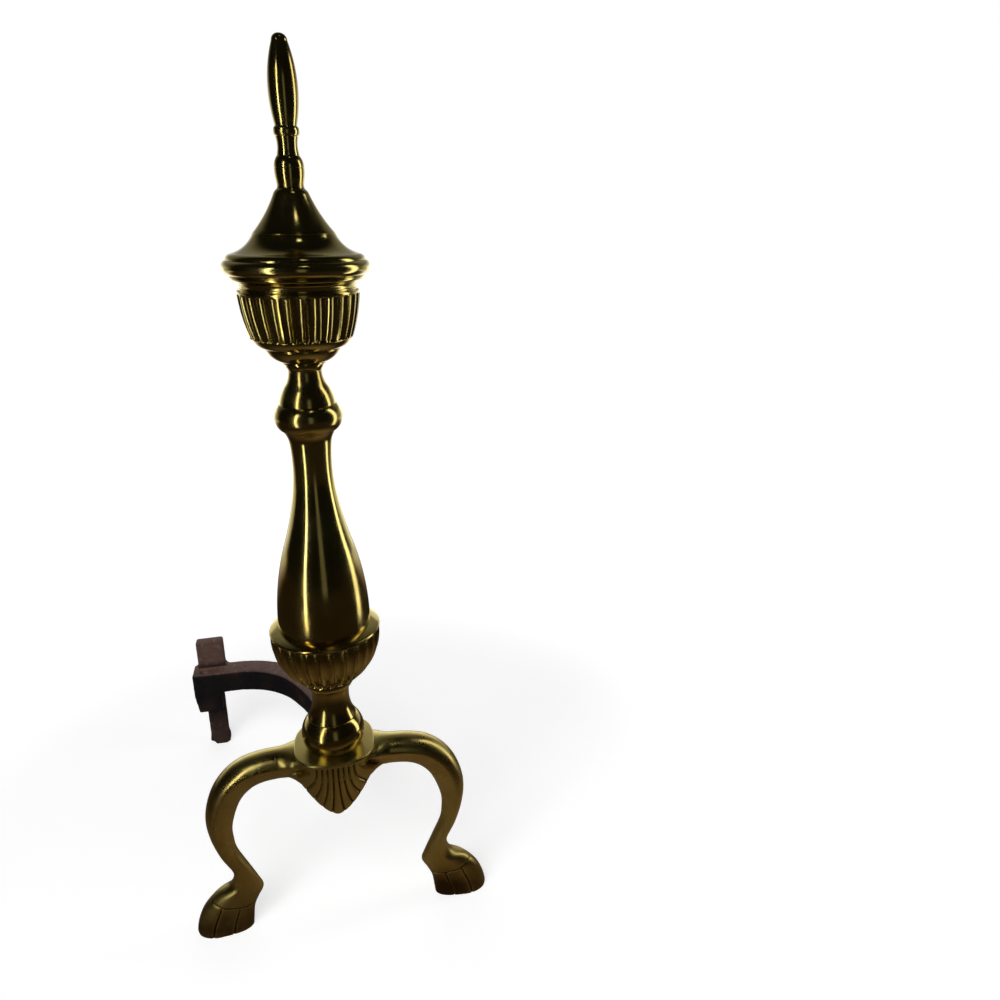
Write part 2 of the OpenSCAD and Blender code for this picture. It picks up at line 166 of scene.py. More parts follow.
def brass(name, turnedLines):
    look = brassLook
    finish = Finish(name)
    gloss, dull = look["turnedGloss"] if turnedLines else look["castGloss"]
    clouds = finish.noise(22, 5, 0.6)
    smears = finish.noise(60, 4, 0.6, (1, 1, 0.7), 0.4)
    specks = finish.noise(900, 2, 0.5).stepped(0.66, 0.78)
    lowDown = 1 - finish.part(finish.place(), "Z").stepped(*look["footHeight"])
    # Tarnish gathers in the hollows, and the hollows are also darkened further as painted shade; the clouds
    # and the feet add grime
    grimeAndShade = (finish.hollow() - 0.5) * look["hollowTarnishAndShade"] + (clouds - 0.5) * look["cloudGrime"]
    grimeAndShade = (grimeAndShade + lowDown * (look["footGrime"] + clouds * look["footClouds"])).clipped()
    tone = finish.mixed(clouds.stepped(0.38, 0.66), look["clean"], look["warm"])
    tone = finish.mixed((grimeAndShade + specks * look["specks"]).clipped(), tone, look["tarnishAndShade"])
    rough = gloss + smears.stepped(0.3, 0.8) * (dull - gloss) + grimeAndShade * look["grimeRough"]
    if turnedLines:
        lines = finish.noise(1, 3, 0.7, (6, 6, 2600))
        bumps = [(lines, 0.02 * mm, 0.35), (finish.noise(420, 3), 0.03 * mm, 0.15)]
    else:
        bumps = [(finish.noise(160, 4, 0.6), 0.2 * mm, 0.1), (finish.noise(1500, 2), 0.03 * mm, 0.15)]
    return finish.surface({"Base Color": tone, "Metallic": 1.0, "Roughness": rough.clipped()}, bumps)


ironLook = {
    "black": (0.0065, 0.0065, 0.0085, 1),
    "brown": (0.155, 0.09, 0.072, 1),
    "rust": (0.23, 0.095, 0.04, 1),
    "ash": (0.3, 0.22, 0.2, 1),
    "handledHeight": (0.081, 0.088),           # the log stop is rubbed brown by the logs
    "troddenHeight": (0.012, 0.05),            # and the rear leg's foot is dusty
}


def blackIron():
    look = ironLook
    finish = Finish("blackIron")
    upward = finish.part(finish.coordinates("Normal"), "Z").stepped(0.1, 0.9)
    blotches = finish.noise(45, 6, 0.65)
    grains = finish.noise(700, 3, 0.6)
    flecks = finish.noise(260, 4, 0.65).stepped(0.52, 0.72)
    height = finish.part(finish.place(), "Z")
    handled = height.stepped(*look["handledHeight"])
    trodden = 1 - height.stepped(*look["troddenHeight"])
    dust = (upward * 0.9 + handled + trodden * 0.4 + (blotches - 0.5) * (0.5 + upward)).clipped()
    rusted = (blotches * grains * 2).stepped(0.52, 0.85) * (0.1 + upward * 0.6)
    tone = finish.mixed(dust, look["black"], look["brown"])
    tone = finish.mixed(rusted, tone, look["rust"])
    tone = finish.mixed(flecks * dust * 0.6, tone, look["ash"])
    rough = 0.5 + grains * 0.25 + dust * 0.12
    bumps = [(blotches, 1.2 * mm, 0.35), (grains, 0.3 * mm, 0.5)]
    return finish.surface({"Base Color": tone, "Metallic": 0.25, "Roughness": rough.clipped()}, bumps)


steelLook = {
    "bright": (0.42, 0.41, 0.39, 1),
    "dull": (0.27, 0.23, 0.19, 1),
    "threadPitch": 1.27 * mm, "threadDepth": 0.7 * mm,
}
waveFactor = 20                                # the Wave texture multiplies its scale by this


def zincSteel(name, threaded):
    look = steelLook
    finish = Finish(name)
    clouds = finish.noise(120, 4, 0.6)
    streaks = finish.noise(1, 3, 0.6, (40, 40, 1800))
    tone = finish.mixed(clouds.stepped(0.4, 0.7), look["bright"], look["dull"])
    bumps = [(streaks, 0.03 * mm, 0.4)]
    if threaded:
        bands = {"Vector": finish.place(), "Scale": math.tau / (waveFactor * look["threadPitch"])}
        thread = finish.node("ShaderNodeTexWave", {"bands_direction": "Z", "wave_profile": "TRI"}, bands)
        bumps.append((Value(finish, thread.outputs["Fac"]), look["threadDepth"], 0.9))
    rough = 0.25 + clouds * 0.3
    return finish.surface({"Base Color": tone, "Metallic": 1.0, "Roughness": rough.clipped()}, bumps)


finishes = {
    "turned_brass": brass("turnedBrass", True),
    "cast_brass": brass("castBrass", False),
    "black_iron": blackIron(),
    "rod_steel": zincSteel("zincSteel", False),
    "thread": zincSteel("threadedSteel", True),
}
print("finishes made")


def clearSelection():
    if bpy.context.mode != "OBJECT":
        bpy.ops.object.mode_set(mode="OBJECT")
    bpy.ops.object.select_all(action="DESELECT")


def startEdit():
    bpy.ops.object.mode_set(mode="EDIT")
    bpy.ops.mesh.select_all(action="SELECT")


def finishEdit(weld=tiny):
    bpy.ops.mesh.select_all(action="SELECT")
    bpy.ops.mesh.remove_doubles(threshold=weld)
    bpy.ops.mesh.normals_make_consistent(inside=False)
    bpy.ops.object.mode_set(mode="OBJECT")


def closeHoles():
    # Points that meet are joined first, so that only the really open edges get a face
    startEdit()
    bpy.ops.mesh.remove_doubles(threshold=tiny)
    bpy.ops.mesh.select_all(action="DESELECT")
    bpy.ops.mesh.select_non_manifold()
    bpy.ops.mesh.fill_holes(sides=0)
    finishEdit()


def applied(piece, kind, settings):
    change = piece.modifiers.new(kind.title(), kind)
    for key, setting in settings.items():
        setattr(change, key, setting)
    bpy.context.view_layer.objects.active = piece
    bpy.ops.object.modifier_apply(modifier=change.name)


def combined(piece, other, operation):
    applied(piece, "BOOLEAN", {"operation": operation, "solver": "EXACT", "object": other})
    bpy.data.objects.remove(other)


def readAll(items, key, width, kind=float):
    values = np.zeros(len(items) * width, kind)
    items.foreach_get(key, values)
    return values.reshape(-1, width)


def markHollows(piece, passes):
    # How far each point lies below or above its neighbours along its normal, kept as an attribute
    mesh = piece.data
    points = readAll(mesh.vertices, "co", 3)
    normals = readAll(mesh.vertices, "normal", 3)
    a, b = readAll(mesh.edges, "vertices", 2, int).T
    bend = np.zeros(len(points))
    count = np.zeros(len(points))
    along = points[b] - points[a]
    length = np.linalg.norm(along, axis=1) + notZero
    for here, way in ((a, along), (b, -along)):
        np.add.at(bend, here, (way * normals[here]).sum(1) / length)
        np.add.at(count, here, 1)
    bend /= np.maximum(count, 1)
    for _ in range(passes):
        total = bend.copy()
        for here, there in ((a, b), (b, a)):
            np.add.at(total, here, bend[there])
        bend = total / (1 + count)
    kept = mesh.attributes.new("hollow", "FLOAT", "POINT")
    kept.data.foreach_set("value", np.clip(0.5 + bend, 0, 1).astype(np.float32))


def dress(piece, slot, node, smooth=40, passes=2):
    clearSelection()
    piece.select_set(True)
    bpy.context.view_layer.objects.active = piece
    bpy.ops.object.transform_apply(location=True, rotation=True, scale=True)
    bpy.ops.object.shade_smooth_by_angle(angle=math.radians(smooth))
    markHollows(piece, passes)
    piece.data.materials.clear()
    piece.data.materials.append(finishes[slot])
    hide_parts(node)
    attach(piece, "root")
    print(piece.name, len(piece.data.polygons), "faces")


def arc(a, b, bulge, stepAngle=5.0):
    # Points of an arc from a to b as (radius, height); a positive bulge swells away from the axis
    a, b = Vector(a), Vector(b)
    chord = b - a
    side = Vector((-chord.y, chord.x)) if chord.y < 0 else Vector((chord.y, -chord.x))
    side.normalize()
    radius = (chord.length_squared / 4 + bulge ** 2) / (2 * abs(bulge))
    centre = (a + b) / 2 + side * math.copysign(1, bulge) * (abs(bulge) - radius)
    start = math.atan2(a.y - centre.y, a.x - centre.x)
    sweep = math.atan2(b.y - centre.y, b.x - centre.x) - start
    sweep = (sweep + math.pi) % math.tau - math.pi
    steps = max(4, math.ceil(abs(math.degrees(sweep)) / stepAngle))
    return [(centre.x + radius * math.cos(start + sweep * i / steps),
             centre.y + radius * math.sin(start + sweep * i / steps)) for i in range(steps + 1)]


def softened(points, radius, sharp=22.0, steps=4, most=0.45):
    # Rounds the corners of an outline that turn more than the sharp angle, by at most that share of an edge
    points = [Vector(p) for p in points]
    made = [points[0]]
    for before, here, after in zip(points, points[1:], points[2:]):
        back, on = before - here, after - here
        if back.length < tiny or on.length < tiny:
            continue
        turn = 180 - math.degrees(back.angle(on))
        if turn < sharp:
            made.append(here)
            continue
        reach = min(radius, back.length * most, on.length * most)
        start, end = here + back.normalized() * reach, here + on.normalized() * reach
        for i in range(steps + 1):
            t = i / steps
            made.append(start * (1 - t) ** 2 + here * 2 * t * (1 - t) + end * t * t)
    made.append(points[-1])
    return [tuple(p) for p in made]


def section(outline, height, edge=0.35):
    # Closed section of a hollow turned piece, from its top down the outside and up the bore
    return softened([(rodBore, height)] + outline + [(rodBore, 0)], edge) + [(rodBore, height)]


def seatOf(node):                              # where a column piece meets the one below, past its spigot
    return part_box(node)[0].z + spigot * mm


def turned(name, node, points, steps=216):
    seat = seatOf(node)
    clearSelection()
    bpy.ops.mesh.primitive_plane_add(size=1 * mm, location=(0, 0, 0))
    piece = bpy.context.object
    piece.name = name
    startEdit()
    bpy.ops.mesh.merge(type="CENTER")
    here = Vector((0, 0, 0))
    for number, (radius, height) in enumerate(points):
        there = Vector((columnX + radius * mm, columnY, seat + height * mm))
        if number == 0:
            bpy.ops.transform.translate(value=there)
        else:
            bpy.ops.mesh.extrude_vertices_move(TRANSFORM_OT_translate={"value": there - here})
        here = there
    bpy.ops.mesh.select_all(action="SELECT")
    bpy.ops.mesh.spin(steps=steps, angle=math.tau, center=(columnX, columnY, 0), axis=(0, 0, 1))
    finishEdit()
    dress(piece, "turned_brass", node)


def grid(name, across, down, place):
    # A sheet whose points are set by place(u, v), with u and v counting the steps across and down
    clearSelection()
    bpy.ops.mesh.primitive_grid_add(x_subdivisions=across, y_subdivisions=down, size=1, location=(0, 0, 0))
    piece = bpy.context.object
    piece.name = name
    for vertex in piece.data.vertices:
        u = round((vertex.co.x + 0.5) * across)
        v = round((vertex.co.y + 0.5) * down)
        vertex.co = place(u, v)
    return piece


def prism(name, points, thick, facing):
    # A flat outline given depth: facing "y" for outlines of (x, z), "x" for outlines of (y, z)
    clearSelection()
    bpy.ops.mesh.primitive_circle_add(vertices=len(points), radius=1 * mm, fill_type="NGON",
                                      location=(0, 0, 0))
    piece = bpy.context.object
    piece.name = name
    for vertex, (a, b) in zip(piece.data.vertices, points):
        spot = (a, 0, b) if facing == "y" else (0, a, b)
        vertex.co = Vector(spot) * mm
    startEdit()
    move = Vector((0, thick, 0) if facing == "y" else (thick, 0, 0)) * mm
    bpy.ops.mesh.extrude_region_move(TRANSFORM_OT_translate={"value": move})
    finishEdit()
    return piece


def pin(radius, tall, x, y, z, around):
    # An upright cylinder about the point given, in millimetres
    clearSelection()
    bpy.ops.mesh.primitive_cylinder_add(vertices=around, radius=radius * mm, depth=tall * mm,
                                        location=(x * mm, y * mm, z * mm))
    bpy.ops.object.transform_apply(location=True, rotation=True, scale=True)
    return bpy.context.object


def shifted(piece, x, y):
    piece.data.transform(Matrix.Translation(Vector((x, y, 0)) * mm))
    return piece


# The plain turned pieces, from the plinth up. Points are (radius, height above the seat) in millimetres.
ball = {"height": 21, "top": 15.4, "foot": (18, 0.6), "seat": 17.6, "swell": 3.5}
turned("ballKnop", "ball_knop", section(
    arc((ball["top"], ball["height"]), ball["foot"], ball["swell"], 3) + [(ball["seat"], 0)],
    ball["height"]))

lowerNeck = {"height": 22.5, "top": 12.4, "waist": 12, "foot": (15.4, 0.5), "seat": 15.1}
lowerWaist = (lowerNeck["waist"], lowerNeck["height"] / 2)
turned("lowerNeck", "lower_neck", section(
    arc((lowerNeck["top"], lowerNeck["height"]), lowerWaist, -0.4)
    + arc(lowerWaist, lowerNeck["foot"], -0.6)[1:] + [(lowerNeck["seat"], 0)],
    lowerNeck["height"]))

baluster = {
    "height": 140.9, "ring": ((16.2, 140.8), (16.6, 126.5)), "ringSwell": 3.1, "groove": (15.6, 125.9),
    "neckTop": (12.4, 119.5), "neckFoot": (12.4, 90.5), "hip": (21.1, 52.5), "belly": (28.2, 0.5),
    "hollow": -0.9, "bellySwell": 1.9, "seat": 27.8,
}
turned("baluster_", "baluster", section(
    arc(*baluster["ring"], baluster["ringSwell"], 4) + arc(baluster["groove"], baluster["neckTop"], -0.5)
    + arc(baluster["neckTop"], baluster["neckFoot"], baluster["hollow"], 1)[1:]
    + arc(baluster["neckFoot"], baluster["hip"], baluster["hollow"], 1)[1:]
    + arc(baluster["hip"], baluster["belly"], baluster["bellySwell"], 1)[1:] + [(baluster["seat"], 0)],
    baluster["height"]), 256)

urnNeck = {
    "height": 23.6, "top": 11, "lip": ((11, 23.1), (9.6, 20.2)), "waist": ((9.4, 19.6), (11.4, 11.6)),
    "foot": (16, 0.3), "seat": 15.7,
}
turned("urnNeck", "urn_neck", section(
    [(urnNeck["top"], urnNeck["height"])] + arc(*urnNeck["lip"], 0.2) + arc(*urnNeck["waist"], -0.5)
    + arc(urnNeck["waist"][1], urnNeck["foot"], 0.8)[1:] + [(urnNeck["seat"], 0)],
    urnNeck["height"]))

urnLid = {
    "height": 27.5, "top": 21.8, "slopeFoot": (34.2, 17.5), "brow": (37, 14.4),
    "rim": ((37.4, 14.1), (36.2, 6.7)), "rimSwell": 2.6, "bead": ((35.4, 6.2), (35, 4.2)),
    "cove": ((34.4, 3.9), (31.4, 0.5)), "seat": 31.2,
}
turned("urnLid", "urn_lid", section(
    arc((urnLid["top"], urnLid["height"]), urnLid["slopeFoot"], -1.9, 3)
    + arc(urnLid["slopeFoot"], urnLid["brow"], 0.6)[1:] + arc(*urnLid["rim"], urnLid["rimSwell"], 4)
    + arc(*urnLid["bead"], 0.5) + arc(*urnLid["cove"], -0.8) + [(urnLid["seat"], 0)],
    urnLid["height"], 0.2), 256)

lidCone = {
    "height": 32.5, "top": 7.75, "collarFoot": (6.9, 24.5), "neck": (6.9, 23.5),
    "bead": ((7.2, 22.5), (9.5, 19.5)), "foot": (21.8, 0.2), "seat": 21.6,
}
turned("lidCone", "lid_cone", section(
    arc((lidCone["top"], lidCone["height"]), lidCone["collarFoot"], 0.25) + [lidCone["neck"]]
    + arc(*lidCone["bead"], 0.3) + arc(lidCone["bead"][1], lidCone["foot"], -0.9, 2)[1:]
    + [(lidCone["seat"], 0)],
    lidCone["height"]))

finial = {
    "height": 62.5, "tip": (4, 59), "spindleFoot": (5.6, 20.5), "spindleEdge": (5.6, 20),
    "collar": ((6.2, 19.5), (6.2, 15.5)), "collarEdge": (5.7, 15.2), "waist": ((5.7, 15), (5.7, 6.5)),
    "waistEdge": (5.7, 6), "flare": ((6.2, 5.5), (7.75, 0.2)), "seat": 7.6, "bore": 11.5, "boreTip": 13.5,
}
turned("finial_", "finial", softened(
    arc((0, finial["height"]), finial["tip"], 1.2, 6)
    + arc(finial["tip"], finial["spindleFoot"], 2.7, 1.5)[1:] + [finial["spindleEdge"]]
    + arc(*finial["collar"], 0.4) + [finial["collarEdge"]] + arc(*finial["waist"], -0.5)
    + [finial["waistEdge"]] + arc(*finial["flare"], 0.4)
    + [(finial["seat"], 0), (rodBore, 0), (rodBore, finial["bore"]), (0, finial["boreTip"])], 0.3), 128)


# Columns of points across one flute, as shares of its half width, and across half the land beside it
fluteColumns = (0.0, 0.22, 0.44, 0.64, 0.8, 0.92, 1.0)
landColumns = (0.14, 0.5, 1.0)
plainShare = 0.72                              # share of the width these columns take on rows without flutes
leastShare = 0.02                              # and where a flute comes to its end
endStep = 9                                    # degrees between the rows round the end of a flute


def alongOutline(points, stops):
    # The points that lie these distances down the outline
    points = np.array(points)
    steps = np.r_[0, np.cumsum(np.linalg.norm(np.diff(points, axis=0), axis=1))]
    return [(np.interp(s, steps, points[:, 0]), np.interp(s, steps, points[:, 1])) for s in stops]


def outlineLength(points):
    return sum(math.dist(a, b) for a, b in zip(points, points[1:]))


def fluteWidth(flutes, radius):                # half the width of a flute there
    return flutes["share"] * math.pi * radius / flutes["count"]


def fluteStops(flutes, band):
    # Distances down the band of its rows of points, closer together round the ends of the flutes
    start, blank = flutes["start"], flutes["stop"]
    end = outlineLength(band) - blank
    topRound = flutes["topRound"] * fluteWidth(flutes, band[0][0])
    footRound = fluteWidth(flutes, band[-1][0]) if blank else 0.0
    turns = [math.radians(angle) for angle in range(0, 90, endStep)]
    stops = []
    if topRound:
        stops += [0, start * 0.5, start * 0.93] + [start + topRound * (1 - math.cos(turn)) for turn in turns]
    stops += list(np.linspace(start + topRound, end - footRound, flutes["rows"]))
    if blank:
        stops += [end - footRound * (1 - math.sin(turn)) for turn in turns[1:]]
        stops += [end, end + blank * 0.07, end + blank * 0.5, end + blank]
    return stops


def fluteRows(flutes, band):
    # Rows of the band as radius, height and, where the flutes are cut, their half width, how far the row lies
    # into a rounded end, and the way out of the surface
    start, topRound = flutes["start"], flutes["topRound"]
    end = outlineLength(band) - flutes["stop"]
    probe = 0.2
    stops = fluteStops(flutes, band)
    rows = []
    for (radius, height), s in zip(alongOutline(band, stops), stops):
        width = fluteWidth(flutes, radius)
        into = 0.0
        if s < start + topRound * width:
            into = (start + topRound * width - s) / topRound
        elif flutes["stop"] and s > end - width:
            into = s - (end - width)
        above, below = alongOutline(band, (s - probe, s + probe))
        way = (Vector(below) - Vector(above)).normalized()
        cut = (width, into, Vector((-way.y, way.x))) if start <= s <= end else None
        rows.append((radius, height, cut))
    return rows


def fluted(name, node, flutes, above, band, below):
    # above, band and below are outlines from the top down; the flutes are cut into the band
    count, depth = flutes["count"], flutes["depth"]
    rows = [(r, z, None) for r, z in above] + fluteRows(flutes, band)
    rows += [(r, z, None) for r, z in below + [(rodBore, 0), (rodBore, flutes["height"]), above[0]]]
    columns = [-1 - c for c in landColumns[::-1]] + [-c for c in fluteColumns[:0:-1]] + list(fluteColumns)
    columns += [1 + c for c in landColumns]
    seat = seatOf(node)

    def place(u, v):
        r, z, cut = rows[v]
        column = columns[u]
        reach = plainShare
        if cut:
            width, into, outward = cut
            half = math.sqrt(max(width ** 2 - into ** 2, 0))
            reach = max(flutes["share"] * half / width, leastShare)
            if abs(column) < 1:                # the flute is the mark of a round cutter
                cutter = (width ** 2 + depth ** 2) / (2 * depth)
                sunk = math.sqrt(cutter ** 2 - (column * half) ** 2 - into ** 2)
                sunk -= math.sqrt(cutter ** 2 - width ** 2)
                r, z = r - sunk * outward.x, z - sunk * outward.y
        spread = column * reach
        if abs(column) > 1:
            spread = math.copysign(reach + (abs(column) - 1) * (1 - reach), column)
        angle = spread * math.pi / count
        return (columnX + r * mm * math.sin(angle), columnY - r * mm * math.cos(angle), seat + z * mm)

    piece = grid(name, len(columns) - 1, len(rows) - 1, place)
    startEdit()
    bpy.ops.mesh.spin(steps=count - 1, angle=math.tau * (count - 1) / count, dupli=True,
                      center=(columnX, columnY, 0), axis=(0, 0, 1))
    finishEdit(2 * tiny)
    dress(piece, "turned_brass", node)


# topRound is the length of a flute's rounded top as a share of its half width, and start and stop are how far
# the flutes keep from the band's top and foot
urnBowl = {
    "height": 41.5, "count": 30, "depth": 1.7, "share": 0.88, "topRound": 0.45, "start": 0.5, "stop": 0,
    "rows": 28,
}
fluted("urnBowl", "urn_bowl", urnBowl,
       softened([(29, urnBowl["height"]), (31.4, urnBowl["height"]), (31.4, 40.7), (32.6, 40), (32.8, 39.4)],
                0.2),
       arc((32.8, 39.3), (28, 14.6), 0.8, 0.5),
       softened([(27.3, 14.2)] + arc((27.3, 14), (21.7, 8.9), 0.9) + [(20.6, 8.4)]
                + arc((20.8, 8), (13.2, 1), 1.1) + [(11.8, 0.6), (12, 0)], 0.15))

lowerCup = {
    "height": 45.5, "count": 28, "depth": 1.7, "share": 0.9, "topRound": 0, "start": 0, "stop": 1.5,
    "rows": 36,
}
fluted("lowerCup", "lower_cup", lowerCup,
       softened([(27, lowerCup["height"]), (28.5, lowerCup["height"]), (33.6, 43.6), (34, 42.9), (33.9, 42.2),
                 (33.5, 41.95)], 0.2),
       arc((33.45, 41.9), (19, 8.5), 4.7, 1),
       softened([(15.5, 8), (14.6, 6.2)] + arc((15, 6), (13.4, 0.5), 0.8) + [(13, 0)], 0.2))
print("column made")


# Stations down the leg from the plinth to the sole, as distance from the axis and height
legOuter = [(20, 141), (38, 140.8), (52, 139.2), (63.5, 135.4), (74, 127), (81.8, 114.6), (86.3, 98),
            (85.4, 82), (80.6, 64.5), (73.8, 48), (77, 37.2), (86.5, 31.6), (94.8, 22.6), (99.4, 13.2),
            (101.6, 4), (101.2, 0)]
legInner = [(20, 120), (38, 120), (48.5, 118.4), (56, 114.4), (62.4, 107.4), (67, 97.6), (70.4, 85.5),
            (70.6, 75), (69, 64.5), (62.4, 49.6), (57.4, 38.4), (55.2, 31.6), (58.6, 24.6), (62.2, 16),
            (63.8, 5), (64.4, 0)]
legHalf = [1, 1, 1, 0.99, 0.98, 0.95, 0.92, 0.86, 0.74, 0.6, 0.64, 0.74, 0.82, 0.86, 0.88, 0.84]
legTaper = [0.42, 0.42, 0.42, 0.42, 0.42, 0.42, 0.42, 0.4, 0.36, 0.3, 0.28, 0.25, 0.22, 0.2, 0.2, 0.2]
leg = {
    "halfWidth": 10.5, "crease": 0.6, "around": 208, "quarter": 40,
    "rings": ((0, 2, 40), (2, 10.5, 90), (10.5, 15, 150)),     # from station, to station, number of rings
}
# Lines cut into the side of the hoof, as distance from the axis and height
hoofLines = {
    "coronet": [(60, 20.8), (66, 21.1), (73, 21.9), (79, 23.4), (86, 26.2), (94, 29)],
    "front": [(83.3, 24), (85.4, 18.4), (87.1, 14.4), (88.9, 9.6), (91, -1)],
    "rear": [(70.8, 21.6), (73.2, 14.6), (74.8, 9.6), (77.4, -1)],
}
hoofCut = {"depth": 0.75, "width": 0.55, "below": 31, "fall": 0.3}


def smoothAt(values, t):
    # Value at t on a smooth curve through evenly spaced values
    values = np.array(values, float)
    last = len(values) - 1
    i = min(int(t), last - 1)
    f = t - i
    p0, p1, p2, p3 = values[max(i - 1, 0)], values[i], values[i + 1], values[min(i + 2, last)]
    bend = p0 - 2.5 * p1 + 2 * p2 - p3 / 2 + f * (1.5 * (p1 - p2) + (p3 - p0) / 2)
    return p1 + f * ((p2 - p0) / 2 + f * bend)


def lineDistance(points, line):
    line = np.array(line, float)
    best = np.full(len(points), np.inf)
    for a, b in zip(line, line[1:]):
        share = np.clip(((points - a) @ (b - a)) / ((b - a) @ (b - a)), 0, 1)
        best = np.minimum(best, np.linalg.norm(points - a - share[:, None] * (b - a), axis=1))
    return best


def legRing(t, wider=0.0, higher=0.0):
    # The leg's section at station t: widest at its crease, round outside that and narrowing inside it
    outer, inner = smoothAt(legOuter, t) + (0, higher), smoothAt(legInner, t) - (0, higher)
    half, taper = smoothAt(legHalf, t) * leg["halfWidth"] + wider, smoothAt(legTaper, t)
    s = np.sin(np.linspace(0, math.pi / 2, leg["quarter"]))
    innerSide = np.c_[leg["crease"] * (1 - s), (1 - taper * s) * np.sqrt(np.maximum(0, 1 - s ** 4))]
    outerSide = np.c_[leg["crease"] + (1 - leg["crease"]) * s, np.sqrt(np.maximum(0, 1 - s ** 2))]
    side = np.r_[innerSide[::-1], outerSide[1:]]
    flat = inner + (outer - inner) * side[:, :1]
    across = side[:, 1] * half
    ring = np.r_[np.c_[flat[:, 0], across, flat[:, 1]], np.c_[flat[:, 0], -across, flat[:, 1]][-2:0:-1]]
    ring = np.r_[ring, ring[:1]]
    steps = np.r_[0, np.cumsum(np.linalg.norm(np.diff(ring, axis=0), axis=1))]
    stops = np.linspace(0, steps[-1], leg["around"] + 1)
    return np.stack([np.interp(stops, steps, ring[:, k]) for k in range(3)], 1)


def hoofed(skin):
    # The skin with the hoof's lines cut in towards the middle of each ring
    points = skin.reshape(-1, 3)
    centres = skin.mean(1, keepdims=True).repeat(skin.shape[1], 1).reshape(-1, 3)
    cut = np.zeros(len(points))
    for line in hoofLines.values():
        near = lineDistance(points[:, [0, 2]], line)
        cut = np.maximum(cut, np.exp(-(near / hoofCut["width"]) ** 2))
    cut *= points[:, 2] < hoofCut["below"]
    inward = centres - points
    inward[:, 2] *= hoofCut["fall"]
    inward /= np.linalg.norm(inward, axis=1, keepdims=True) + notZero
    return (points + inward * cut[:, None] * hoofCut["depth"]).reshape(skin.shape)


def swept(name, rings, side=1):
    # A closed skin over closed rings of points, given in millimetres from the column's axis
    around = len(rings[0])

    def place(u, v):
        x, y, z = rings[v][u % around]
        return (columnX + side * x * mm, columnY + y * mm, z * mm)

    piece = grid(name, around, len(rings) - 1, place)
    closeHoles()
    return piece


def makeLegs():
    stations = np.unique(np.concatenate([np.linspace(*span) for span in leg["rings"]]))
    skin = hoofed(np.array([legRing(t) for t in stations]))
    for name, side in (("rightLeg", 1), ("leftLeg", -1)):
        dress(swept(name, skin, side), "cast_brass", "leg_casting", smooth=50)


makeLegs()

plinth = {"top": 142.5, "half": 26, "power": 2.7, "lip": 2.6, "overhang": 2.4, "step": 0.8, "edge": 0.9,
          "around": 288}


def plinthSpot(half, turn):
    # A square with swelling sides and soft corners
    c, s = math.cos(turn), math.sin(turn)
    power = 2 / plinth["power"]
    return (math.copysign(half * abs(c) ** power, c), math.copysign(half * abs(s) ** power, s))


def stacked(name, profile, around):
    # Level rings of the plinth's plan, from a profile of half widths and heights, closed on the axis
    def place(u, v):
        x, y = plinthSpot(profile[v][0], math.tau * (u % around) / around)
        return (columnX + x * mm, columnY + y * mm, profile[v][1] * mm)

    piece = grid(name, around, len(profile) - 1, place)
    startEdit()
    finishEdit()
    return piece


def makePlinth():
    top, half = plinth["top"], plinth["half"]
    under = top - plinth["lip"]
    foot, inner = under - plinth["step"], half - plinth["overhang"]
    profile = softened([(0, top), (half, top), (half, under), (inner, foot), (inner - 1, foot), (0, foot)],
                       plinth["edge"])
    dress(stacked("plinthLip", profile, plinth["around"]), "cast_brass", "leg_casting", smooth=50)


# Under the plinth the legs run through a core and flare out to its lip, and a ledge joins them to the shell.
# From fadeFrom out to reach the shoulder's skin sinks from just outside the leg's to just inside it.
shoulder = {
    "core": 22.3, "coreFoot": 126, "coreAround": 96, "flare": 5.4, "flareFrom": 127, "flareFade": 5,
    "fadeFrom": 33, "reach": 40, "rings": 161, "skin": 0.25, "sink": 0.4, "voxel": 0.45, "smoothing": 40,
}
# The ledge from the shell's corners to the legs, by distance out from the middle
ledge = {
    "out": (0, 19, 22, 24, 26.2, 29.2, 33, 36),
    "front": (12.6, 12.6, 12.4, 11.8, 10.6, 8.6, 6.4, 5.2),
    "low": (118.5, 118.5, 119.5, 121, 122.6, 123.2, 123.6, 124),
    "high": (131, 131, 129.5, 128.5, 127.5, 127, 126.5, 126.5),
    "rings": 73,
}


def rootRing(x):
    # The section x across through both legs' roots: the leg's own section there, grown and flared
    top = plinth["top"] - plinth["lip"]
    out = abs(x)
    fade = max(0.0, out - shoulder["fadeFrom"]) / (shoulder["reach"] - shoulder["fadeFrom"])
    grow = shoulder["skin"] * (1 - fade) - shoulder["sink"] * fade
    flare = shoulder["flare"] * math.exp(-(max(0.0, out - plinth["half"]) / shoulder["flareFade"]) ** 2)
    firstSpan = legOuter[1][0] - legOuter[0][0]
    ring = legRing(max(0.0, (out - legOuter[0][0]) / firstSpan), grow, grow)
    ring[:, 0] = x
    high = np.clip((ring[:, 2] - shoulder["flareFrom"]) / (top - shoulder["flareFrom"]), 0, 1)
    ring[:, 1] *= 1 + flare / leg["halfWidth"] * high * high * (3 - 2 * high)
    return ring


def ledgeRing(x):
    front, low, high = (np.interp(abs(x), ledge["out"], ledge[key]) for key in ("front", "low", "high"))
    return [(x, -front, low), (x, -front, high), (x, 0, high), (x, 0, low)]


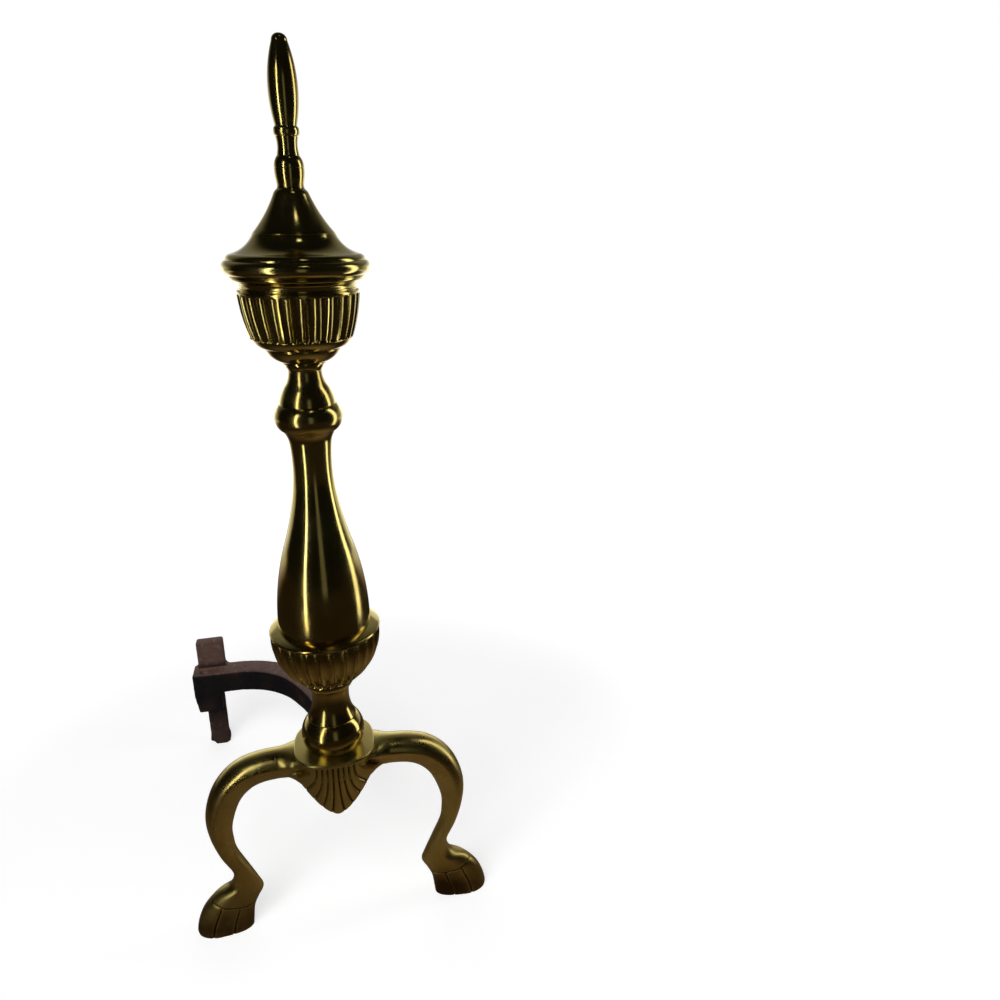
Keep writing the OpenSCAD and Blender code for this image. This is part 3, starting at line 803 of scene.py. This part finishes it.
def makeShoulder():
    top, half, foot = plinth["top"] - plinth["lip"], shoulder["core"], shoulder["coreFoot"]
    core = stacked("core", [(0, top), (half, top), (half, foot), (0, foot)], shoulder["coreAround"])
    reach, ledgeReach = shoulder["reach"], ledge["out"][-1]
    roots = swept("roots", [rootRing(x) for x in np.linspace(-reach, reach, shoulder["rings"])])
    web = swept("ledge", [ledgeRing(x) for x in np.linspace(-ledgeReach, ledgeReach, ledge["rings"])])
    clearSelection()
    for part in (core, web, roots):
        part.select_set(True)
    bpy.context.view_layer.objects.active = core
    bpy.ops.object.join()
    core.name = "legShoulder"
    applied(core, "REMESH", {"mode": "VOXEL", "voxel_size": shoulder["voxel"] * mm, "use_smooth_shade": True})
    applied(core, "SMOOTH", {"factor": 0.5, "iterations": shoulder["smoothing"]})
    dress(core, "cast_brass", "leg_casting", smooth=60)


shell = {
    "top": 139.8, "edge": 128.5, "tip": 100, "hinge": 15, "halfWidth": 24.6, "front": 23.7, "back": 12,
    "curve": 5.2, "fall": 3, "sides": 1.6, "spread": 0.85, "ribs": 9, "crown": 0.3, "margin": 0.6,
    "groove": 1.2, "grooveWidth": 0.5, "footGroove": 0.35, "across": 288, "down": 72,
}


def makeShell():
    half, hinge, ribs, down = shell["halfWidth"], shell["hinge"], shell["ribs"], shell["down"]

    def place(u, v):
        u = 2 * u / shell["across"] - 1
        behind = v > down                      # the sheet goes down the front and comes back up behind
        share = min((2 * down + 1 - v) / down if behind else v / down, 1)
        edgeX = half * math.copysign(abs(u) ** shell["spread"], u)
        edgeZ = shell["tip"] + (shell["edge"] - shell["tip"]) * (abs(edgeX) / half) ** shell["sides"]
        x = hinge * u + (edgeX - hinge * u) * share ** 3
        z = shell["top"] + (edgeZ - shell["top"]) * share
        rib = (u + 1) / 2 * ribs % 1
        pitch = 2 * (hinge + (half - hinge) * share ** 3) / ribs
        toGroove = min(rib, 1 - rib) * pitch
        inside = abs(u) < 1 - shell["margin"] / ribs
        sunk = math.exp(-(toGroove / shell["grooveWidth"]) ** 2) if inside else 0
        relief = shell["crown"] * math.sin(math.pi * rib) - shell["groove"] * sunk
        front = shell["front"] - shell["curve"] * (x / half) ** 2 - shell["fall"] * share ** 2
        front += relief * min(1, (1 - share) * 12 + shell["footGroove"])
        if behind or abs(u) == 1:
            front = shell["back"]
        return (columnX + x * mm, columnY - front * mm, z * mm)

    piece = grid("shellApron", shell["across"], 2 * down + 1, place)
    closeHoles()
    dress(piece, "cast_brass", "leg_casting", smooth=35, passes=1)


makePlinth()
makeShoulder()
makeShell()
print("legs, plinth and shell made")

# The iron is drawn round the column's axis too. The bar runs back, then turns left by a slow and a quick arc.
bar = {
    "width": 19, "height": 20, "under": 60, "reach": 125.5, "straightEnd": 85, "slowRadius": 175,
    "slowAngle": 35, "quickRadius": 69, "eyeTop": 131, "eyeHeight": 10, "rise": 14, "edge": 0.9, "voxel": 0.9,
    "rough": 0.35,
}
barTop = bar["under"] + bar["height"]
slowTurn = math.radians(bar["slowAngle"])
slowCentre = np.array([-bar["slowRadius"], bar["straightEnd"]])
slowWay = np.array([math.cos(slowTurn), math.sin(slowTurn)])
quickCentre = slowCentre + (bar["slowRadius"] - bar["quickRadius"]) * slowWay
barEndY = quickCentre[1] + bar["quickRadius"]
barBack, barFront = barEndY + bar["width"] / 2, barEndY - bar["width"] / 2


def castSkin(piece, voxel, rough):
    applied(piece, "REMESH", {"mode": "VOXEL", "voxel_size": voxel * mm, "use_smooth_shade": True})
    applied(piece, "SMOOTH", {"factor": 0.5, "iterations": 5})
    grain = bpy.data.textures.new("castGrain", "CLOUDS")
    grain.noise_scale = 6 * mm
    grain.noise_depth = 4
    applied(piece, "DISPLACE", {"texture": grain, "strength": rough * mm, "mid_level": 0.5,
                                "texture_coords": "LOCAL"})


def makeRun():
    # The bar's section, swept by its two turns and a straight push
    half = bar["width"] / 2
    clearSelection()
    bpy.ops.mesh.primitive_plane_add(size=1, location=(0, 0, 0))
    run = bpy.context.object
    corners = [(x, z) for z in (bar["under"], barTop) for x in (-half, half)]
    for vertex, (x, z) in zip(run.data.vertices, corners):
        vertex.co = Vector((x, bar["straightEnd"], z)) * mm
    startEdit()
    for centre, angle, steps in ((slowCentre, slowTurn, 24), (quickCentre, math.pi / 2 - slowTurn, 32)):
        bpy.ops.mesh.spin(steps=steps, angle=-angle, center=Vector((*centre, 0)) * mm, axis=(0, 0, 1))
    push = (-bar["reach"] - quickCentre[0]) * mm
    bpy.ops.mesh.extrude_region_move(TRANSFORM_OT_translate={"value": (push, 0, 0)})
    finishEdit()
    return run


def sFall(a, b, steps=24):
    # An S-shaped slope from a to b
    return [(a[0] + (b[0] - a[0]) * i / steps, a[1] + (b[1] - a[1]) * (1 - math.cos(math.pi * i / steps)) / 2)
            for i in range(steps + 1)]


def makeNeck():
    # From under the eye the bar slopes down to the run, which it enters by a millimetre
    eyeBottom, end = bar["eyeTop"] - bar["eyeHeight"], bar["straightEnd"] + 1
    side = ([(0, eyeBottom), (0, bar["eyeTop"])] + sFall((bar["rise"], bar["eyeTop"]), (end, barTop))
            + sFall((end, bar["under"]), (bar["rise"], eyeBottom)))
    return shifted(prism("neck", side, bar["width"], "x"), -bar["width"] / 2, 0)


lug = {"width": 23, "drop": 19, "thick": 8, "taper": 2.5, "fillet": 3, "leftDrop": 2.2, "rightDrop": 4,
       "into": 3}


def makeLug():
    left, right, under = -bar["reach"], lug["width"] - bar["reach"], bar["under"]
    foot, inside, fillet = under - lug["drop"], under + lug["into"], right + lug["fillet"]
    side = [(left, inside), (left, under - lug["leftDrop"]), (left + lug["taper"], foot), (right, foot),
            (right, under - lug["rightDrop"]), (fillet, under), (fillet, inside)]
    return shifted(prism("lug", side, lug["thick"], "y"), 0, barFront)


stop = {"x": -121, "width": 23, "top": 108, "thick": 8, "spread": 2.5, "fillet": 3, "corner": 1.2,
        "leftFall": (1.4, 0.6), "into": 2}


def makeStop():
    left, right, top = stop["x"], stop["x"] + stop["width"], stop["top"]
    spread, corner = stop["spread"], stop["corner"]
    inside, fillet = barTop - stop["into"], barTop + stop["fillet"]
    cornerFall, edgeFall = stop["leftFall"]
    side = [(left - spread, inside), (left - spread, barTop), (left, fillet), (left, top - cornerFall),
            (left + corner, top - edgeFall), (right - corner, top), (right, top - corner), (right, fillet),
            (right + spread, barTop), (right + spread, inside)]
    return shifted(prism("tab", side, stop["thick"], "y"), 0, barBack - stop["thick"])


# The dent that a hammer left on top of the bar's end
dent = {"x": -115.4, "y": 211.3, "radius": 3.6, "deep": 3}


def makeDentBall():
    middle = Vector((dent["x"], dent["y"], barTop + dent["radius"] - dent["deep"]))
    clearSelection()
    bpy.ops.mesh.primitive_uv_sphere_add(segments=32, ring_count=24, radius=dent["radius"] * mm,
                                         location=middle * mm)
    return bpy.context.object


def makeBar():
    whole = makeRun()
    eye = pin(bar["width"] / 2, bar["eyeHeight"], 0, 0, bar["eyeTop"] - bar["eyeHeight"] / 2, 64)
    for other in (makeNeck(), eye, makeLug(), makeStop()):
        combined(whole, other, "UNION")
    whole.name = "logBar"
    combined(whole, makeDentBall(), "DIFFERENCE")
    shifted(whole, columnX / mm, columnY / mm)
    applied(whole, "BEVEL", {"width": bar["edge"] * mm, "segments": 2, "limit_method": "ANGLE",
                             "angle_limit": math.radians(35)})
    castSkin(whole, bar["voxel"], bar["rough"])
    dress(whole, "black_iron", "log_bar", smooth=60)


rearLeg = {
    "x": -109.8, "width": 15.4, "thick": 9, "gap": 0.2, "footTop": 12, "footSpread": (0.8, 1),
    "roundFrom": 4, "soleFrom": 4, "chamfer": 2, "tenonX": -113, "tenon": 3.2, "tenonExtra": 1,
    "tenonDrop": 0.6, "voxel": 0.6, "rough": 0.3,
}


def makeRearLeg():
    left, right = rearLeg["x"] - rearLeg["width"] / 2, rearLeg["x"] + rearLeg["width"] / 2
    toeLeft, toeRight = left - rearLeg["footSpread"][0], right + rearLeg["footSpread"][1]
    footTop, edge, chamfer = rearLeg["footTop"], rearLeg["footTop"] / 2, rearLeg["chamfer"]
    front = barFront + lug["thick"] + rearLeg["gap"]
    outline = ([(left, bar["under"]), (left, footTop), (toeLeft, edge)]
               + arc((toeLeft, rearLeg["roundFrom"]), (rearLeg["x"] - rearLeg["soleFrom"], 0), 1)
               + [(right - chamfer, 0), (toeRight, chamfer), (toeRight, edge), (right, footTop),
                  (right, bar["under"])])
    whole = shifted(prism("rearLeg", outline, rearLeg["thick"], "y"), 0, front)
    tenon = pin(rearLeg["tenon"], bar["height"] + rearLeg["tenonExtra"], rearLeg["tenonX"],
                front + rearLeg["thick"] / 2, barTop - bar["height"] / 2 - rearLeg["tenonDrop"], 48)
    combined(whole, tenon, "UNION")
    shifted(whole, columnX / mm, columnY / mm)
    castSkin(whole, rearLeg["voxel"], rearLeg["rough"])
    dress(whole, "black_iron", "rear_leg", smooth=60)


def dressRod():
    # The rod, its washers and its nut keep their own meshes
    for node in ("tie_rod", "tie_rod_washer", "tie_rod_lock_washer", "tie_rod_nut"):
        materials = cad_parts[node].data.materials
        materials.clear()
        materials.append(finishes["thread" if node == "tie_rod" else "rod_steel"])


makeBar()
makeRearLeg()
dressRod()
print("iron made")

# As the camera sees it the floor fades to white between the two paleTo radii. The brass mirrors it only close
# by, between the two nearTo radii, and behind the andiron, where it runs up into the white backdrop.
# Seen in the brass the floor glows though it is no lamp, a painted reflection, and is painted darker on its
# left side, a painted shade.
stage = {
    "floorSize": 4.0, "around": 96, "seenTone": 0.5, "seenGlow": 0.68, "farGlow": 0.4, "paleTo": (0.25, 0.6),
    "otherTone": 0.23, "roomGlow": 0.022, "mirroredGlow": 0.03, "mirroredColour": (1.0, 0.71, 0.5, 1),
    "nearTo": (0.12, 0.42), "sweepFrom": (0.35, 0.8), "sweepGlow": 0.75, "lightSide": (-0.1, 0.15),
    "darkSide": 0.35,
}


def makeFloor():
    clearSelection()
    bpy.ops.mesh.primitive_circle_add(vertices=stage["around"], radius=stage["floorSize"] / 2,
                                      fill_type="NGON", location=(0, 0, 0))
    floor = bpy.context.object
    floor.name = "floor"
    finish = Finish("paleFloor")
    rays = finish.node("ShaderNodeLightPath").outputs
    seen = Value(finish, rays["Is Camera Ray"])
    mirrored = Value(finish, rays["Is Glossy Ray"]) + Value(finish, rays["Is Transmission Ray"])
    spot = finish.coordinates("Object")
    length = finish.node("ShaderNodeVectorMath", {"operation": "LENGTH"}, {0: spot})
    away = Value(finish, length.outputs["Value"])
    far = away.stepped(*stage["paleTo"])
    near = 1 - away.stepped(*stage["nearTo"])
    sweep = finish.part(spot, "Y").stepped(*stage["sweepFrom"])
    # painted shade: as the brass mirrors it, the floor is darker on its left side
    side = stage["darkSide"] + (1 - stage["darkSide"]) * finish.part(spot, "X").stepped(*stage["lightSide"])
    tone = seen * stage["seenTone"] + (1 - seen) * near * side * stage["otherTone"]
    pale = finish.mixed(seen, stage["mirroredColour"], white)
    lit = finish.node("ShaderNodeBsdfDiffuse", {}, {"Color": finish.mixed(tone, black, pale)})
    seenGlow = seen * (stage["seenGlow"] + far * stage["farGlow"])
    mirroredGlow = mirrored * (stage["roomGlow"] + near * stage["mirroredGlow"] + sweep * stage["sweepGlow"])
    colour = finish.mixed((seen + sweep).clipped(), stage["mirroredColour"], white)
    glow = finish.node("ShaderNodeEmission", {}, {"Color": colour, "Strength": seenGlow + mirroredGlow})
    both = finish.node("ShaderNodeAddShader", {}, {0: lit.outputs[0], 1: glow.outputs[0]})
    finish.node("ShaderNodeOutputMaterial", {}, {"Surface": both.outputs[0]})
    floor.data.materials.append(finish.material)


# The room that the brass mirrors: dim, with a lighter wall behind the andiron that is brightest low down
room = {"dim": 0.007, "wall": 0.24, "wallFoot": 0.8, "wallFrom": (0.35, 0.95), "footTo": (0.05, 0.3)}


def makeWorld():
    world = bpy.data.worlds.new("studio")
    bpy.context.scene.world = world
    world.use_nodes = True
    finish = Finish("studio", world.node_tree)
    camera = Value(finish, finish.node("ShaderNodeLightPath").outputs["Is Camera Ray"])
    way = finish.coordinates("Generated")
    behind = finish.part(way, "Y").stepped(*room["wallFrom"])
    low = 1 - finish.part(way, "Z").stepped(*room["footTo"])
    mirrored = room["dim"] + behind * (room["wall"] + low * room["wallFoot"])
    strength = camera + (1 - camera) * mirrored
    shown = finish.node("ShaderNodeBackground", {}, {"Color": white, "Strength": strength})
    finish.node("ShaderNodeOutputWorld", {}, {"Surface": shown.outputs[0]})


lamps = {
    # Direction from the column in degrees (0 is the front, 90 the right), distance, height of its middle,
    # size and watts. The brass mirrors all but the last.
    "frontStrip": {"turn": -42, "away": 0.45, "middle": 0.37, "size": (0.04, 0.72), "watts": 0.55},
    "farWall": {"turn": 8, "away": 1.3, "middle": 0.5, "size": (0.28, 0.9), "watts": 0.12},
    "sideWindow": {"turn": 97, "away": 0.45, "middle": 0.37, "size": (0.11, 0.72), "watts": 0.6},
    "backPanel": {"turn": 180, "away": 0.55, "middle": 0.3, "size": (1.0, 0.34), "watts": 0.8},
    "ceiling": {"turn": 20, "away": 0.5, "middle": 1.5, "size": (0.1, 0.1), "watts": 0.12},
    "softFill": {"turn": -30, "away": 1.0, "middle": 1.1, "size": (1.0, 1.0), "watts": 14, "mirrored": False},
}
lampAim = Vector((columnX, columnY, 0.28))     # halfway up the column


def makeLamps():
    for name, lamp in lamps.items():
        angle = math.radians(lamp["turn"])
        place = Vector((columnX + math.sin(angle) * lamp["away"], columnY - math.cos(angle) * lamp["away"],
                        lamp["middle"]))
        clearSelection()
        bpy.ops.object.light_add(type="AREA", location=place)
        light = bpy.context.object
        light.name = name
        light.data.shape = "RECTANGLE"
        light.data.size, light.data.size_y = lamp["size"]
        light.data.energy = lamp["watts"]
        light.rotation_euler = (lampAim - place).to_track_quat("-Z", "Y").to_euler()
        light.visible_camera = False
        light.visible_glossy = lamp.get("mirrored", True)


viewpoint = {
    "place": (25.66, -552.01, 477.57),         # millimetres
    "turn": 13.104, "fall": 19.058, "roll": -0.442,
    "lens": 28.56, "shift": (-0.0124, -0.0155),
}


def makeCamera():
    turn, fall, roll = (math.radians(viewpoint[key]) for key in ("turn", "fall", "roll"))
    ahead = Vector((math.sin(turn) * math.cos(fall), math.cos(turn) * math.cos(fall), -math.sin(fall)))
    level = Vector((math.cos(turn), -math.sin(turn), 0))
    down = ahead.cross(level)
    right = level * math.cos(roll) + down * math.sin(roll)
    below = down * math.cos(roll) - level * math.sin(roll)
    clearSelection()
    bpy.ops.object.camera_add()
    camera = bpy.context.object
    axes = Matrix((right, -below, -ahead)).transposed()
    camera.matrix_world = Matrix.Translation(Vector(viewpoint["place"]) * mm) @ axes.to_4x4()
    camera.data.lens = viewpoint["lens"]
    camera.data.sensor_width = 36
    camera.data.shift_x, camera.data.shift_y = viewpoint["shift"]
    camera.data.clip_start = 10 * mm
    bpy.context.scene.camera = camera


makeFloor()
makeWorld()
makeLamps()
makeCamera()
print("floor, lights and camera made")
bpy.context.scene.view_settings.view_transform = "Standard"
